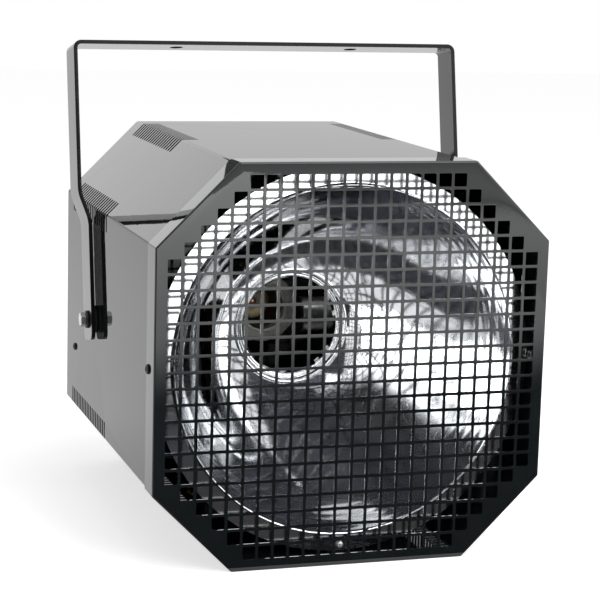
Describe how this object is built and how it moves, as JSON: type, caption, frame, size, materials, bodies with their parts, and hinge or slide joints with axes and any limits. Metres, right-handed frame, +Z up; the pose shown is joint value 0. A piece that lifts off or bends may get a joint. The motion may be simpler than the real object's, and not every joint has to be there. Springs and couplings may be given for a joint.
{
  "type": "blacklight spotlight",
  "caption": "Floodlight in an eight-sided black steel housing with a square-hole front grille, spun mirror reflector, screw lampholder and tilting yoke.",
  "frame": {"origin": "the bottom centre of the whole part, at the height of the cover's lowest face", "axes": "+Z up, the front grille faces -Y, +X to the right seen from the front"},
  "size_m": [0.4132, 0.4396, 0.4716],
  "materials": {
    "gloss_black": "gloss black powder coat on steel sheet",
    "yoke_black": "gloss black powder coat on steel flat bar",
    "screw_black": "black oxide",
    "zinc": "bright zinc plating",
    "mirror_aluminium": "spun and brightened aluminium",
    "porcelain": "glazed porcelain",
    "brass": "rolled brass",
    "copper": "copper alloy",
    "iron": "varnished steel laminations",
    "winding": "varnished copper winding under tape",
    "aluminium_can": "drawn aluminium can",
    "nylon": "moulded black nylon",
    "rubber": "black rubber",
    "silicone": "red-brown silicone insulation"
  },
  "bodies": {
    "housing": {"housing_shell": "gloss_black", "rear_panel": "gloss_black", "reflector": "mirror_aluminium", "reflector_bracket_top": "gloss_black", "reflector_bracket_bottom": "gloss_black", "reflector_screw_top": "zinc", "reflector_screw_bottom": "zinc", "reflector_nut_top": "zinc", "reflector_nut_bottom": "zinc", "lampholder_body": "porcelain", "lampholder_shell": "brass", "lampholder_bracket": "zinc", "holder_screw_left": "zinc", "holder_screw_right": "zinc", "bracket_screw_left": "zinc", "bracket_screw_right": "zinc", "gear_shelf": "zinc", "shelf_screw_left": "screw_black", "shelf_screw_right": "screw_black", "capacitor": "aluminium_can", "capacitor_clip": "zinc", "clip_screw": "zinc", "terminal_block": "porcelain", "ballast_core": "iron", "ballast_coil": "winding", "ballast_plate": "iron", "ballast_bolt_left": "zinc", "ballast_bolt_right": "zinc", "earth_bolt": "brass", "gland_body": "nylon", "gland_nut": "nylon", "gland_locknut": "nylon", "pivot_bolt_left": "zinc", "pivot_bolt_right": "zinc", "pivot_nut_left": "zinc", "pivot_nut_right": "zinc", "pivot_washer_left": "screw_black", "pivot_washer_right": "screw_black", "pivot_disc_left": "rubber", "pivot_disc_right": "rubber", "ballast_lead": "rubber", "lamp_lead_live": "silicone", "lamp_lead_neutral": "silicone"},
    "yoke": {"yoke": "yoke_black"},
    "cover": {"front_cover": "gloss_black", "cover_screw_left": "screw_black", "cover_screw_right": "screw_black", "cover_nut_left": "zinc", "cover_nut_right": "zinc"},
    "contact": {"centre_contact": "copper"}
  },
  "joints": [
    {"name": "yoke_tilt", "type": "hinge", "parent": "housing", "child": "yoke", "pos_m": [0, 0.0492, 0.19], "axis": [1, 0, 0], "range_deg": [-207, 50]},
    {"name": "cover_slide", "type": "slide", "parent": "housing", "child": "cover", "axis": [0, -1, 0], "range_m": [0, 0.045]},
    {"name": "contact_press", "type": "slide", "parent": "housing", "child": "contact", "axis": [0, 1, 0], "range_m": [0, 0.002], "stiffness_N_per_m": 1500, "springref_m": -0.004}
  ]
}
